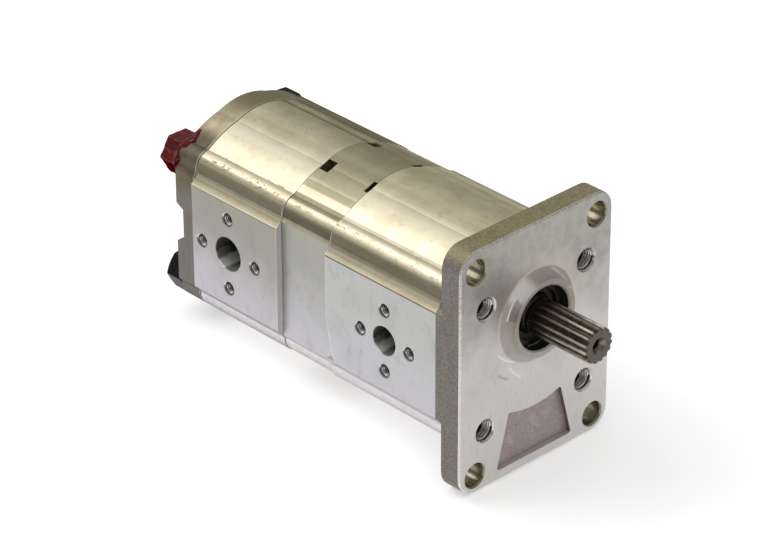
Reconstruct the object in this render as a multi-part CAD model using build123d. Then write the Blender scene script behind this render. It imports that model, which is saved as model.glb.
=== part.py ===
from build123d import *
import math
import os

# Tandem external gear pump, millimetres.
# The origin is on the drive shaft's axis, at the front face of the mounting plate.
# +X runs out along the shaft, +Z is up, and the ports face -Y and +Y.

# gear pair, the same in both stages
TEETH = 12
MODULE = 2.5
PRESSURE_ANGLE = 20.0
CENTRE_TEETH = 12.4
TIP_TRIM = 0.12
BACKLASH = 0.16
FRONT_GEAR_WIDTH = 25.0
REAR_GEAR_WIDTH = 16.0
TIP_CLEARANCE = 0.07
SIDE_CLEARANCE = 0.1
JOURNAL_R = 9.0
BUSH_WALL = 1.0
JOURNAL_CLEARANCE = 0.04
BLOCK_CLEARANCE = 0.03
SHAFT_END_GAP = 0.5

# lengths along the shaft
PLATE_THICKNESS = 11.0
NECK_LENGTH = 6.0
FRONT_HOUSING_LENGTH = 69.0
MIDDLE_LENGTH = 31.0
REAR_HOUSING_LENGTH = 56.5
COVER_THICKNESS = 13.0
FRONT_PORT_SETBACK = 31.8
REAR_PORT_SETBACK = 32.4

# body outline across the shaft
ARCH_R = 35.0
FLANK_R = 7.6
FLANK_BULGE = 0.9
PAD_REACH = 12.8
PAD_HALF_HEIGHT = 26.1
MIDDLE_STEP = 3.1
COVER_STEP = 2.2
LUG_OFFSET_Y = 1.2
LUG_OFFSET_Z = 1.6
FRONT_LUG_R = 8.1
REAR_LUG_R = 7.8
MIDDLE_LUG_R = 7.4
FAR_LUG_TRIM = 0.8
LUG_STEP_Y = 0.8
LUG_STEP_ANGLE = 5.0
LUG_FOOT = 1.0
FLARE_HOLLOW = 0.35

# mounting plate
PLATE_SIDE_MARGIN = 9.5
PLATE_TOP_MARGIN = 10.5
PLATE_BOTTOM_MARGIN = 8.5
PLATE_CORNER_R = 10.0
PLATE_EDGE_CHAMFER = 0.8
MOUNT_SPACING_Y = 72.0
MOUNT_SPACING_Z = 100.0
MOUNT_HOLE_R = 5.5
MOUNT_HOLE_CHAMFER = 0.7
BOSS_HEIGHT = 5.0
BOSS_LAND = 1.0
BOSS_R = 18.25
BOSS_FOOT_R = 23.5
SEAL_SECTION = 6.0
SEAL_BORE_DEPTH = 9.0
SEAL_BORE_CHAMFER = 0.7
SHAFT_GAP = 1.0
POCKET_DEPTH = 2.2
POCKET_ARC_R = 45.3
POCKET_TOP_HALF = 15.8
POCKET_MIDDLE_HALF = 18.4
POCKET_BOTTOM_HALF = 22.8
POCKET_MIDDLE_DROP = 10.0
POCKET_RIM = 4.9
POCKET_CORNER_R = 1.3

# long screws through the whole body
SCREW_SPACING = 60.0
SCREW_R = 5.0
SCREW_HOLE_R = 5.5
SCREW_TIP_DEPTH = 7.0
SCREW_FLATS = 17.0
SCREW_HEAD_HEIGHT = 10.4
SCREW_HEAD_CHAMFER = 1.0
TAP_MOUTH_R = 5.8
LACQUER_THICKNESS = 0.5
LACQUER_SKIRT = 2.0

# ports
FRONT_PORT_PCD = 30.0
FRONT_PORT_R = 6.75
FRONT_SUCTION_PCD = 35.0
FRONT_SUCTION_R = 8.75
REAR_PORT_PCD = 35.0
REAR_PORT_R = 8.1
REAR_SUCTION_PCD = 40.0
REAR_SUCTION_R = 10.0
PORT_TAP_R = 3.0
PORT_TAP_DEPTH = 13.0
PORT_TAP_CHAMFER = 0.5
PORT_CHAMFER = 0.3
PORT_FLOOR = 1.5
PORT_STEP = 1.5
FRONT_PORT_DROP = 1.2

# middle section and rear cover
COUPLING_GAP = 2.0
WINDOW_START_ANGLE = 18.0
WINDOW_END_ANGLE = 29.0
WINDOW_DEPTH = 5.0
REAR_WINDOW_LENGTH = 5.6
FRONT_WINDOW_LENGTH = 2.3
PAD_BEVEL_LENGTH = 6.5
PAD_BEVEL_HEIGHT = 24.0
RECESS_DEPTH = 4.4
RECESS_HALF_HEIGHT = 7.4
RECESS_FLANK = 2.4
RECESS_LIFT = 1.2

# drive shaft end and coupling
SHAFT_LENGTH = 36.7
SPLINE_TEETH = 15
SPLINE_STEP = 0.6
SPLINE_DEPTH = 1.2
SPLINE_START = 3.0
SPLINE_NECK = 1.0
SPLINE_TIP_SHARE = 0.24
SPLINE_ROOT_SHARE = 0.68
SHAFT_CHAMFER = 0.5
CENTRE_HOLE_R = 2.5
CENTRE_HOLE_MOUTH_R = 4.0
CENTRE_HOLE_DEPTH = 14.0
TANG_LENGTH = 13.0
TANG_THICKNESS = 9.0
TANG_CLEARANCE = 0.1
SLEEVE_WALL = 4.0
SLEEVE_END_GAP = 0.5

# seals, ring and pins
SEAL_WIDTH = 7.0
SEAL_WALL = 2.4
SEAL_WEB = 1.4
LIP_SETBACK = 1.4
LIP_RELIEF = 0.7
LIP_WALL = 1.4
LIP_GAP = 0.02
SPRING_R = 0.6
RING_GAP = 0.8
RING_THICKNESS = 1.2
RING_GROOVE_DEPTH = 0.8
RING_RADIAL = 2.6
RING_OPENING = 40.0
GASKET_OFFSET = 2.4
GASKET_WIDTH = 2.0
GASKET_DEPTH = 1.6
FIELD_EDGE = 1.3
FIELD_WIDTH = 2.2
FIELD_DEPTH = 2.0
PIN_R = 2.5
PIN_LENGTH = 10.0

# sizes and places worked out from those above
CENTRE_DISTANCE = MODULE * CENTRE_TEETH
NECK_BACK = -PLATE_THICKNESS - NECK_LENGTH
FRONT_BACK = NECK_BACK - FRONT_HOUSING_LENGTH
MIDDLE_BACK = FRONT_BACK - MIDDLE_LENGTH
REAR_BACK = MIDDLE_BACK - REAR_HOUSING_LENGTH
COVER_BACK = REAR_BACK - COVER_THICKNESS
FRONT_PORT_X = NECK_BACK - FRONT_PORT_SETBACK
REAR_PORT_X = MIDDLE_BACK - REAR_PORT_SETBACK
BODY_Z = -CENTRE_DISTANCE / 2
SCREW_Y = SCREW_SPACING / 2
PAD_HALF_WIDTH = SCREW_Y + PAD_REACH
SCREW_PLACES = [(sy * SCREW_Y, BODY_Z + sz * SCREW_Y) for sy in (-1, 1) for sz in (1, -1)]
MOUNT_PLACES = [
    (sy * MOUNT_SPACING_Y / 2, BODY_Z + sz * MOUNT_SPACING_Z / 2) for sy in (-1, 1) for sz in (1, -1)
]
MIDDLE_HALF_WIDTH = PAD_HALF_WIDTH - MIDDLE_STEP
COVER_HALF_WIDTH = PAD_HALF_WIDTH - COVER_STEP
BODY_HEIGHT = CENTRE_DISTANCE + 2 * ARCH_R
FRONT_PORT_Z = BODY_Z - FRONT_PORT_DROP
REAR_PORT_Z = BODY_Z
LUG_Y = SCREW_Y + LUG_OFFSET_Y
LUG_Z = SCREW_Y + LUG_OFFSET_Z
PLATE_WIDTH = MOUNT_SPACING_Y + 2 * PLATE_SIDE_MARGIN
PLATE_TOP = BODY_Z + MOUNT_SPACING_Z / 2 + PLATE_TOP_MARGIN
PLATE_BOTTOM = BODY_Z - MOUNT_SPACING_Z / 2 - PLATE_BOTTOM_MARGIN
AXES = [(0, 0), (0, -CENTRE_DISTANCE)]
BUSH_R = JOURNAL_R + JOURNAL_CLEARANCE + BUSH_WALL
SPLINE_TIP_R = JOURNAL_R - SPLINE_STEP
SPLINE_ROOT_R = SPLINE_TIP_R - SPLINE_DEPTH
SLEEVE_R = JOURNAL_R + SLEEVE_WALL
COUPLING_BORE_R = SLEEVE_R + COUPLING_GAP
SEAL_BORE_R = JOURNAL_R + SEAL_SECTION
SEAL_BACK = -SEAL_BORE_DEPTH
SEAL_FRONT = SEAL_BACK + SEAL_WIDTH
LIP_X = SEAL_BACK + LIP_SETBACK + 2 * LIP_RELIEF
LIP_TOP_R = JOURNAL_R + LIP_GAP + LIP_RELIEF + LIP_WALL
RING_BACK = SEAL_FRONT + RING_GAP
RING_OUTER_R = SEAL_BORE_R + RING_GROOVE_DEPTH
SCREW_CORNER_R = SCREW_FLATS / math.sqrt(3)
HEAD_BACK = COVER_BACK - SCREW_HEAD_HEIGHT
FRONT_GEAR_FRONT = FRONT_PORT_X + FRONT_GEAR_WIDTH / 2
FRONT_GEAR_BACK = FRONT_PORT_X - FRONT_GEAR_WIDTH / 2
REAR_GEAR_FRONT = REAR_PORT_X + REAR_GEAR_WIDTH / 2
REAR_GEAR_BACK = REAR_PORT_X - REAR_GEAR_WIDTH / 2

# involute tooth form for the working centre distance
PITCH_R = MODULE * TEETH / 2
BASE_R = PITCH_R * math.cos(math.radians(PRESSURE_ANGLE))
WORKING_ANGLE = math.acos(2 * BASE_R / CENTRE_DISTANCE)


def involute(angle):
    return math.tan(angle) - angle


SHIFT = (
    TEETH
    * (involute(WORKING_ANGLE) - involute(math.radians(PRESSURE_ANGLE)))
    / (2 * math.tan(math.radians(PRESSURE_ANGLE)))
)
TIP_R = CENTRE_DISTANCE / 2 + MODULE - TIP_TRIM
ROOT_R = CENTRE_DISTANCE - TIP_R - MODULE / 4
GEAR_BORE_R = TIP_R + TIP_CLEARANCE
GASKET_INNER_R = GEAR_BORE_R + GASKET_OFFSET
GASKET_OUTER_R = GASKET_INNER_R + GASKET_WIDTH
FIELD_OUTER_R = GEAR_BORE_R - FIELD_EDGE
FIELD_INNER_R = FIELD_OUTER_R - FIELD_WIDTH
PIN_OFFSET = (GASKET_OUTER_R + ARCH_R) / 2
PIN_PLACES = [(0, PIN_OFFSET), (0, -CENTRE_DISTANCE - PIN_OFFSET)]
JOINTS = [NECK_BACK, FRONT_BACK, MIDDLE_BACK, REAR_BACK]
TOOTH_HALF_AT_PITCH = (
    math.pi / (2 * TEETH)
    + 2 * SHIFT * math.tan(math.radians(PRESSURE_ANGLE)) / TEETH
    - BACKLASH / (4 * PITCH_R)
)


# drawing helpers
def section(x):
    """The plane across the shaft at x, with Y to the right and Z up."""
    return Plane(origin=(x, 0, 0), x_dir=(0, 1, 0), z_dir=(1, 0, 0))


def slab(sketch, x_back, x_front):
    """A sketch drawn in Y and Z, carried from x_back to x_front."""
    return extrude(section(x_back) * sketch, amount=x_front - x_back)


def rod(radius, x_back, x_front, place=(0, 0)):
    return slab(Pos(*place) * Circle(radius), x_back, x_front)


def rods(radius, x_back, x_front, places):
    return [rod(radius, x_back, x_front, place) for place in places]


def cone(r_back, r_front, x_back, x_front, place=(0, 0)):
    """A cone along X, r_back at x_back and r_front at x_front."""
    middle = (x_back + x_front) / 2
    solid = Cone(r_back, r_front, x_front - x_back)
    return Pos(middle, *place) * Rot(0, 90, 0) * solid


def side_rod(radius, side, face, depth, x, z):
    """A rod along Y, from the face at side*face inwards by depth."""
    plane = Plane(origin=(x, side * face, z), x_dir=(1, 0, 0), z_dir=(0, -side, 0))
    return extrude(plane * Circle(radius), amount=depth)


def side_cone(mouth_r, inner_r, side, face, x, z):
    """A 45 degree chamfer at the mouth of a hole along Y."""
    depth = mouth_r - inner_r
    centre = (x, side * (face - depth / 2), z)
    return Pos(*centre) * Rot(side * -90, 0, 0) * Cone(inner_r, mouth_r, depth)


def around(angle, radius):
    """A point at an angle from the top towards -Y, in Y and Z."""
    turn = math.radians(angle)
    return (-radius * math.sin(turn), radius * math.cos(turn))


def flank_angle():
    """The slope of the line that touches the arch and a circle of FLANK_R around the lug."""
    drop = LUG_Z - CENTRE_DISTANCE / 2
    return math.degrees(
        math.atan2(LUG_Y, drop) - math.acos((ARCH_R - FLANK_R) / math.hypot(LUG_Y, drop))
    )


def outline_quarter(lug_r):
    """From the top's middle to the side's middle: arch, flank, screw lug, flare and pad."""
    arch_z = CENTRE_DISTANCE / 2
    arch_angle = flank_angle()

    def arch(angle):
        y, z = around(angle, ARCH_R)
        return (y, z + arch_z)

    def lug(angle):
        y, z = around(angle, lug_r)
        return (y - LUG_Y, z + LUG_Z)

    step_y = LUG_STEP_Y - LUG_Y
    leave = arch(arch_angle)
    slope = math.tan(math.radians(arch_angle))
    step = (step_y, leave[1] - (leave[0] - step_y) * slope)
    flank = ((leave[0] + step[0]) / 2, (leave[1] + step[1]) / 2 + FLANK_BULGE)
    foot = (lug(90)[0], LUG_Z - LUG_FOOT)
    crest = (-PAD_HALF_WIDTH, PAD_HALF_HEIGHT)
    out = crest[0] - foot[0]
    down = crest[1] - foot[1]
    inward = FLARE_HOLLOW / math.hypot(out, down)
    flare = ((foot[0] + crest[0]) / 2 - down * inward, (foot[1] + crest[1]) / 2 + out * inward)
    return [
        ThreePointArc(arch(0), arch(arch_angle / 2), leave),
        ThreePointArc(leave, flank, step),
        Line(step, lug(LUG_STEP_ANGLE)),
        ThreePointArc(lug(LUG_STEP_ANGLE), lug((90 + LUG_STEP_ANGLE) / 2), lug(90)),
        Line(lug(90), foot),
        ThreePointArc(foot, flare, crest),
        Line(crest, (-PAD_HALF_WIDTH, 0)),
    ]


def body_outline(lug_r, half_width):
    """The extruded outline, with lugs a little smaller on the +Y side."""
    near = outline_quarter(lug_r)
    far = [mirror(edge, about=Plane.YZ) for edge in outline_quarter(lug_r - FAR_LUG_TRIM)]
    upper = near + far
    edges = upper + [mirror(edge, about=Plane.XZ) for edge in upper]
    full = make_face(Curve() + edges)
    if half_width < PAD_HALF_WIDTH:
        full &= Rectangle(2 * half_width, BODY_HEIGHT)
    return Pos(0, BODY_Z) * full


def twin(radius):
    """Two joined circles around the gear axes."""
    return Sketch() + [Pos(*place) * Circle(radius) for place in AXES]


def racetrack(radius):
    """The rounded slot outline around both gear axes."""
    return Pos(0, BODY_Z) * SlotCenterToCenter(CENTRE_DISTANCE, 2 * radius, rotation=90)


def tapped_circle(side, x, z, pcd):
    """Four tapped holes around a port, above, below, before and behind it."""
    cuts = []
    for dx, dz in [(1, 0), (-1, 0), (0, 1), (0, -1)]:
        hole_x = x + dx * pcd / 2
        hole_z = z + dz * pcd / 2
        mouth_r = PORT_TAP_R + PORT_TAP_CHAMFER
        cuts.append(side_rod(PORT_TAP_R, side, PAD_HALF_WIDTH, PORT_TAP_DEPTH, hole_x, hole_z))
        cuts.append(side_cone(mouth_r, PORT_TAP_R, side, PAD_HALF_WIDTH, hole_x, hole_z))
    return cuts


def port(side, x, z, bore_r, pcd):
    """A port with a floor, a narrower way into the gear chamber and four tapped holes."""
    depth = PAD_HALF_WIDTH - GEAR_BORE_R - PORT_FLOOR
    cuts = [
        side_rod(bore_r, side, PAD_HALF_WIDTH, depth, x, z),
        side_rod(bore_r - PORT_STEP, side, PAD_HALF_WIDTH, PAD_HALF_WIDTH, x, z),
        side_cone(bore_r + PORT_CHAMFER, bore_r, side, PAD_HALF_WIDTH, x, z),
    ]
    return cuts + tapped_circle(side, x, z, pcd)


def pin_holes(joint_x):
    """Half of each dowel's hole lies on either side of a joint."""
    return rods(PIN_R, joint_x - PIN_LENGTH / 2, joint_x + PIN_LENGTH / 2, PIN_PLACES)


def gasket_ring():
    return racetrack(GASKET_OUTER_R) - racetrack(GASKET_INNER_R)


def field_ring():
    return twin(FIELD_OUTER_R) - twin(FIELD_INNER_R)


# the fixed castings and extrusions
def make_flange_cover():
    plate = slab(
        Pos(0, (PLATE_TOP + PLATE_BOTTOM) / 2)
        * RectangleRounded(PLATE_WIDTH, PLATE_TOP - PLATE_BOTTOM, PLATE_CORNER_R),
        -PLATE_THICKNESS,
        0,
    )
    front_edges = plate.faces().sort_by(Axis.X)[-1].edges()
    plate = chamfer(front_edges, PLATE_EDGE_CHAMFER)
    neck = slab(body_outline(FRONT_LUG_R, PAD_HALF_WIDTH), NECK_BACK, -PLATE_THICKNESS)
    solid = plate + neck + make_boss()
    cuts = [
        rod(SEAL_BORE_R, SEAL_BACK, BOSS_HEIGHT),
        cone(
            SEAL_BORE_R,
            SEAL_BORE_R + SEAL_BORE_CHAMFER,
            BOSS_HEIGHT - SEAL_BORE_CHAMFER,
            BOSS_HEIGHT,
        ),
        rod(JOURNAL_R + SHAFT_GAP, NECK_BACK, 0),
        rod(RING_OUTER_R, RING_BACK, RING_BACK + RING_THICKNESS),
        make_pocket(),
    ]
    cuts += rods(MOUNT_HOLE_R, -PLATE_THICKNESS, 0, MOUNT_PLACES)
    for place in MOUNT_PLACES:
        wide = MOUNT_HOLE_R + MOUNT_HOLE_CHAMFER
        cuts.append(cone(MOUNT_HOLE_R, wide, -MOUNT_HOLE_CHAMFER, 0, place))
    cuts += rods(SCREW_R, NECK_BACK, 0, SCREW_PLACES)
    for place in SCREW_PLACES:
        cuts.append(cone(SCREW_R, TAP_MOUTH_R, SCREW_R - TAP_MOUTH_R, 0, place))
    cuts += pin_holes(NECK_BACK)
    return solid - cuts


def make_boss():
    """The pilot ring around the seal, with a hollow fillet down to the plate."""
    root = -PLATE_THICKNESS / 2
    top = BOSS_HEIGHT - BOSS_LAND
    outline = [
        Line((root, 0), (root, BOSS_FOOT_R)),
        Line((root, BOSS_FOOT_R), (0, BOSS_FOOT_R)),
        TangentArc((0, BOSS_FOOT_R), (top, BOSS_R), tangent=(0, -1)),
        Line((top, BOSS_R), (BOSS_HEIGHT, BOSS_R)),
        Line((BOSS_HEIGHT, BOSS_R), (BOSS_HEIGHT, 0)),
        Line((BOSS_HEIGHT, 0), (root, 0)),
    ]
    return revolve(make_face(Curve() + outline), Axis.X)


def make_pocket():
    """The cast pocket under the boss: an arc above, hollow sides, a straight foot."""
    drop = math.sqrt(POCKET_ARC_R**2 - POCKET_TOP_HALF**2)
    foot = PLATE_BOTTOM + POCKET_RIM
    top = (POCKET_TOP_HALF, -drop)
    middle = (POCKET_MIDDLE_HALF, -drop - POCKET_MIDDLE_DROP)
    bottom = (POCKET_BOTTOM_HALF, foot)
    outline = [
        ThreePointArc((-top[0], top[1]), (0, -POCKET_ARC_R), top),
        ThreePointArc(top, middle, bottom),
        Line(bottom, (-bottom[0], bottom[1])),
        ThreePointArc((-bottom[0], bottom[1]), (-middle[0], middle[1]), (-top[0], top[1])),
    ]
    face = make_face(Curve() + outline)
    face = fillet(face.vertices(), POCKET_CORNER_R)
    return slab(face, -POCKET_DEPTH, 0)


def housing_cuts(back, front):
    """The gear chamber, screw holes, pin holes and ring grooves of one housing."""
    cuts = [slab(twin(GEAR_BORE_R), back, front)]
    cuts += rods(SCREW_HOLE_R, back, front, SCREW_PLACES)
    cuts += pin_holes(back) + pin_holes(front)
    cuts.append(slab(gasket_ring(), back, back + GASKET_DEPTH))
    cuts.append(slab(gasket_ring(), front - GASKET_DEPTH, front))
    return cuts


def make_front_housing():
    solid = slab(body_outline(FRONT_LUG_R, PAD_HALF_WIDTH), FRONT_BACK, NECK_BACK)
    cuts = housing_cuts(FRONT_BACK, NECK_BACK)
    cuts += port(-1, FRONT_PORT_X, FRONT_PORT_Z, FRONT_PORT_R, FRONT_PORT_PCD)
    cuts += port(1, FRONT_PORT_X, FRONT_PORT_Z, FRONT_SUCTION_R, FRONT_SUCTION_PCD)
    cuts.append(make_pad_bevel())
    return solid - cuts


def make_pad_bevel():
    """The wedge dressed off the lower back corner of the front housing's pad."""
    low = BODY_Z - PAD_HALF_HEIGHT
    deep = PAD_HALF_WIDTH - MIDDLE_HALF_WIDTH
    corner = Vector(FRONT_BACK, -PAD_HALF_WIDTH, low)
    inner = Vector(FRONT_BACK, -PAD_HALF_WIDTH + deep, low)
    along = Vector(FRONT_BACK + PAD_BEVEL_LENGTH, -PAD_HALF_WIDTH, low)
    peak = Vector(FRONT_BACK, -PAD_HALF_WIDTH, low + PAD_BEVEL_HEIGHT)
    faces = [
        make_face(Polyline(corner, inner, along, close=True)),
        make_face(Polyline(corner, inner, peak, close=True)),
        make_face(Polyline(corner, along, peak, close=True)),
        make_face(Polyline(inner, along, peak, close=True)),
    ]
    return Solid(Shell([face.faces()[0] for face in faces]))


def make_rear_housing():
    solid = slab(body_outline(REAR_LUG_R, PAD_HALF_WIDTH), REAR_BACK, MIDDLE_BACK)
    cuts = housing_cuts(REAR_BACK, MIDDLE_BACK)
    cuts += port(-1, REAR_PORT_X, REAR_PORT_Z, REAR_PORT_R, REAR_PORT_PCD)
    cuts += port(1, REAR_PORT_X, REAR_PORT_Z, REAR_SUCTION_R, REAR_SUCTION_PCD)
    return solid - cuts


def window(side, x_back, x_front):
    """A slot in the arch's outer wall, between the two window angles."""
    outer = ARCH_R + WINDOW_DEPTH
    inner = ARCH_R - WINDOW_DEPTH
    angles = [-side * WINDOW_START_ANGLE, -side * WINDOW_END_ANGLE]
    points = [around(angles[0], inner), around(angles[0], outer)]
    points += [around(angles[1], outer), around(angles[1], inner)]
    return slab(make_face(Polyline(*points, close=True)), x_back, x_front)


def make_middle_section():
    solid = slab(body_outline(MIDDLE_LUG_R, MIDDLE_HALF_WIDTH), MIDDLE_BACK, FRONT_BACK)
    cuts = [rod(COUPLING_BORE_R, MIDDLE_BACK, FRONT_BACK)]
    cuts += rods(SCREW_HOLE_R, MIDDLE_BACK, FRONT_BACK, SCREW_PLACES)
    cuts += pin_holes(MIDDLE_BACK) + pin_holes(FRONT_BACK)
    for side in (-1, 1):
        cuts.append(window(side, MIDDLE_BACK, MIDDLE_BACK + REAR_WINDOW_LENGTH))
        cuts.append(window(side, FRONT_BACK - FRONT_WINDOW_LENGTH, FRONT_BACK))
    return solid - cuts


def make_rear_cover():
    solid = slab(body_outline(REAR_LUG_R, COVER_HALF_WIDTH), COVER_BACK, REAR_BACK)
    cuts = rods(SCREW_HOLE_R, COVER_BACK, REAR_BACK, SCREW_PLACES)
    cuts += pin_holes(REAR_BACK)
    wide = RECESS_HALF_HEIGHT + RECESS_FLANK
    middle = BODY_Z + RECESS_LIFT
    outline = [
        (COVER_BACK + RECESS_DEPTH, middle + RECESS_HALF_HEIGHT),
        (COVER_BACK, middle + wide),
        (COVER_BACK, middle - wide),
        (COVER_BACK + RECESS_DEPTH, middle - RECESS_HALF_HEIGHT),
    ]
    channel = Plane.XZ * make_face(Polyline(*outline, close=True))
    cuts.append(extrude(channel, amount=2 * COVER_HALF_WIDTH, both=True))
    return solid - cuts


# screws and the lacquer over one head
def hexagon(flats, place):
    return Pos(*place) * RegularPolygon(flats / 2, 6, major_radius=False)


def make_screw(place):
    head = slab(hexagon(SCREW_FLATS, place), HEAD_BACK, COVER_BACK)
    turned = rod(SCREW_CORNER_R, HEAD_BACK, COVER_BACK, place)
    rim = turned.faces().sort_by(Axis.X)[0].edges()
    head = head & chamfer(rim, SCREW_HEAD_CHAMFER, 2 * SCREW_HEAD_CHAMFER)
    return head + rod(SCREW_R, COVER_BACK, -SCREW_TIP_DEPTH, place)


def make_lacquer(place):
    """A hard coat of lacquer, cupped over a screw head down to the cover."""
    skirt_back = COVER_BACK - LACQUER_SKIRT
    skirt_r = SCREW_CORNER_R + LACQUER_THICKNESS
    coat_flats = SCREW_FLATS + 2 * LACQUER_THICKNESS
    coat = slab(hexagon(coat_flats, place), HEAD_BACK - LACQUER_THICKNESS, skirt_back)
    coat += rod(skirt_r, skirt_back, COVER_BACK, place)
    return coat - slab(hexagon(SCREW_FLATS, place), HEAD_BACK, COVER_BACK)


# gears, shafts and the coupling
def flank_half_angle(radius):
    """Half of the tooth's angle at a radius, in degrees."""
    pressure = math.acos(min(1.0, BASE_R / radius))
    half = TOOTH_HALF_AT_PITCH + involute(math.radians(PRESSURE_ANGLE)) - involute(pressure)
    return math.degrees(half)


def gear_face(first_tooth):
    """The gear's outline, with one tooth centred at the angle first_tooth."""
    start = max(BASE_R, ROOT_R)
    steps = 5
    radii = [start + (TIP_R - start) * i / steps for i in range(steps + 1)]
    pitch = 360 / TEETH
    edges = []
    for tooth in range(TEETH):
        centre = first_tooth + tooth * pitch

        def at(radius, offset):
            return around(centre + offset, radius)

        near = [at(r, -flank_half_angle(r)) for r in radii]
        far = [at(r, flank_half_angle(r)) for r in radii]
        foot = flank_half_angle(start)
        edges += [
            Line(at(ROOT_R, -foot), near[0]),
            Spline(*near),
            ThreePointArc(near[-1], at(TIP_R, 0), far[-1]),
            Spline(*reversed(far)),
            Line(far[0], at(ROOT_R, foot)),
            ThreePointArc(at(ROOT_R, foot), at(ROOT_R, pitch / 2), at(ROOT_R, pitch - foot)),
        ]
    return make_face(Curve() + edges)


def driving_gear(back, front):
    """A gear on the upper axis, with one tooth turned down to the driven gear."""
    return slab(gear_face(180), back + SIDE_CLEARANCE, front - SIDE_CLEARANCE)


def make_idler(gear_back, gear_front, back, front):
    """A driven gear with a journal at each end, one tooth gap turned up to the driver."""
    place = AXES[1]
    face = Pos(*place) * gear_face(180 / TEETH)
    shaft = rod(JOURNAL_R, back + SHAFT_END_GAP, front - SHAFT_END_GAP, place)
    return shaft + slab(face, gear_back + SIDE_CLEARANCE, gear_front - SIDE_CLEARANCE)


def tang(x_back, x_front):
    """A shaft end milled to two flats for the coupling."""
    flats = Circle(JOURNAL_R) & Rectangle(TANG_THICKNESS, 2 * JOURNAL_R)
    return slab(flats, x_back, x_front)


def spline_face():
    pitch = 360 / SPLINE_TEETH
    tip = pitch * SPLINE_TIP_SHARE / 2
    root = pitch * SPLINE_ROOT_SHARE / 2
    edges = []
    for tooth in range(SPLINE_TEETH):
        centre = tooth * pitch
        tip_near = around(centre - tip, SPLINE_TIP_R)
        tip_far = around(centre + tip, SPLINE_TIP_R)
        root_near = around(centre - root, SPLINE_ROOT_R)
        root_far = around(centre + root, SPLINE_ROOT_R)
        edges += [
            Line(root_near, tip_near),
            ThreePointArc(tip_near, around(centre, SPLINE_TIP_R), tip_far),
            Line(tip_far, root_far),
            ThreePointArc(
                root_far,
                around(centre + pitch / 2, SPLINE_ROOT_R),
                around(centre + pitch - root, SPLINE_ROOT_R),
            ),
        ]
    return make_face(Curve() + edges)


def make_drive_shaft():
    """The splined shaft with the front stage's driving gear on it."""
    teeth = slab(spline_face(), SPLINE_START, SHAFT_LENGTH)
    envelope = rod(SPLINE_TIP_R, SPLINE_START, SHAFT_LENGTH)
    rim = envelope.faces().sort_by(Axis.X)[-1].edges()
    teeth = teeth & chamfer(rim, SHAFT_CHAMFER)
    solid = teeth + rod(SPLINE_TIP_R, SPLINE_NECK, SPLINE_START)
    solid += cone(JOURNAL_R, SPLINE_TIP_R, 0, SPLINE_NECK)
    solid += rod(JOURNAL_R, FRONT_BACK, 0)
    solid += driving_gear(FRONT_GEAR_BACK, FRONT_GEAR_FRONT)
    solid += tang(FRONT_BACK - TANG_LENGTH, FRONT_BACK)
    mouth = CENTRE_HOLE_MOUTH_R - CENTRE_HOLE_R
    cone_depth = mouth * math.sqrt(3)
    solid -= rod(CENTRE_HOLE_R, SHAFT_LENGTH - CENTRE_HOLE_DEPTH, SHAFT_LENGTH)
    solid -= cone(CENTRE_HOLE_R, CENTRE_HOLE_MOUTH_R, SHAFT_LENGTH - cone_depth, SHAFT_LENGTH)
    return solid


def make_rear_drive_gear():
    solid = rod(JOURNAL_R, REAR_BACK + SHAFT_END_GAP, MIDDLE_BACK)
    solid += driving_gear(REAR_GEAR_BACK, REAR_GEAR_FRONT)
    return solid + tang(MIDDLE_BACK, MIDDLE_BACK + TANG_LENGTH)


def make_coupling():
    """The sleeve that joins the two shafts, slotted for their tangs."""
    back = MIDDLE_BACK + SLEEVE_END_GAP
    front = FRONT_BACK - SLEEVE_END_GAP
    slot_r = JOURNAL_R + TANG_CLEARANCE
    slot = Circle(slot_r) & Rectangle(TANG_THICKNESS + 2 * TANG_CLEARANCE, 2 * slot_r)
    return rod(SLEEVE_R, back, front) - slab(slot, back, front)


# bearing blocks and bushes
def make_block(back, front, seal_back):
    """A bearing block for both gears, with a seal groove in its outer face."""
    solid = slab(twin(GEAR_BORE_R - BLOCK_CLEARANCE), back, front)
    solid -= rods(BUSH_R, back, front, AXES)
    return solid - make_field_seal(seal_back)


def make_bush(back, front, place):
    hole_r = JOURNAL_R + JOURNAL_CLEARANCE
    return rod(BUSH_R, back, front, place) - rod(hole_r, back, front, place)


# seals and the ring
def make_field_seal(back):
    return slab(field_ring(), back, back + FIELD_DEPTH)


def make_housing_seal(back):
    return slab(gasket_ring(), back, back + GASKET_DEPTH)


def make_shaft_seal():
    """A seal turned around the shaft: outer wall, front web, dust lip and main lip."""
    lip_r = JOURNAL_R + LIP_GAP
    relief_r = lip_r + LIP_RELIEF
    wall_r = SEAL_BORE_R - SEAL_WALL
    web_back = SEAL_FRONT - SEAL_WEB
    lip_back = SEAL_BACK + LIP_SETBACK
    outline = [
        (SEAL_BACK, SEAL_BORE_R),
        (SEAL_FRONT, SEAL_BORE_R),
        (SEAL_FRONT, relief_r),
        (SEAL_FRONT - LIP_RELIEF, lip_r),
        (SEAL_FRONT - 2 * LIP_RELIEF, relief_r),
        (LIP_X + LIP_RELIEF, relief_r),
        (LIP_X, lip_r),
        (lip_back, relief_r),
        (lip_back, LIP_TOP_R),
        (web_back, LIP_TOP_R),
        (web_back, wall_r),
        (SEAL_BACK, wall_r),
    ]
    return revolve(make_face(Polyline(*outline, close=True)), Axis.X)


def make_seal_spring():
    """The garter spring that closes the main lip onto the shaft."""
    return Pos(LIP_X, 0, 0) * Rot(0, 90, 0) * Torus(LIP_TOP_R + SPRING_R, SPRING_R)


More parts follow.
